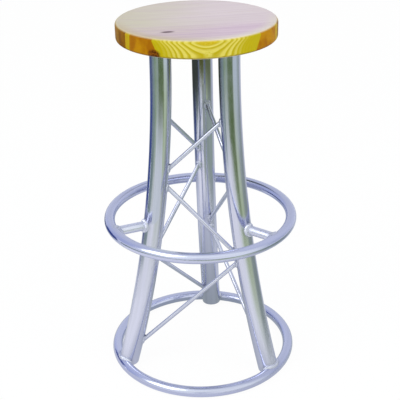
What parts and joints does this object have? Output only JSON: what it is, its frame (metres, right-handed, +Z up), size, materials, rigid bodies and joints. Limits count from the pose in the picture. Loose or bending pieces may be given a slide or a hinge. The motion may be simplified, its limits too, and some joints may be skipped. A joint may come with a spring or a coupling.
{
  "type": "bar stool",
  "caption": "Backless bar stool: a round edge-glued pine seat on bent aluminium tube legs laced together with rods, with a footrest ring and a floor ring.",
  "frame": {"origin": "on the floor, on the stool's upright axis", "axes": "+Z up through the seat's centre, +Y towards the rear leg, +X to the right as seen from the front"},
  "size_m": [0.4572, 0.4572, 0.845],
  "materials": {
    "pine": "clear satin lacquer over turned, edge-glued pine",
    "leg_tube": "mill-finished tube, lightly polished",
    "ring_tube": "polished tube",
    "lacing_rod": "drawn rod, satin",
    "seat_plate": "rolled plate, as cut",
    "screw": "zinc plated"
  },
  "bodies": {
    "root": {"seat_stave_1": "pine", "seat_stave_2": "pine", "seat_stave_3": "pine", "seat_stave_4": "pine", "seat_plate": "seat_plate", "seat_screw_1": "screw", "seat_screw_2": "screw", "seat_screw_3": "screw", "seat_screw_4": "screw", "seat_screw_5": "screw", "seat_screw_6": "screw", "leg_rear": "leg_tube", "leg_front_right": "leg_tube", "leg_front_left": "leg_tube", "floor_ring": "ring_tube", "footrest_ring": "ring_tube", "footrest_stub_rear": "ring_tube", "footrest_stub_front_right": "ring_tube", "footrest_stub_front_left": "ring_tube", "lacing_right_upper": "lacing_rod", "lacing_right_middle": "lacing_rod", "lacing_right_lower": "lacing_rod", "lacing_front_upper": "lacing_rod", "lacing_front_middle": "lacing_rod", "lacing_front_lower": "lacing_rod", "lacing_left_upper": "lacing_rod", "lacing_left_middle": "lacing_rod", "lacing_left_lower": "lacing_rod"}
  },
  "joints": []
}
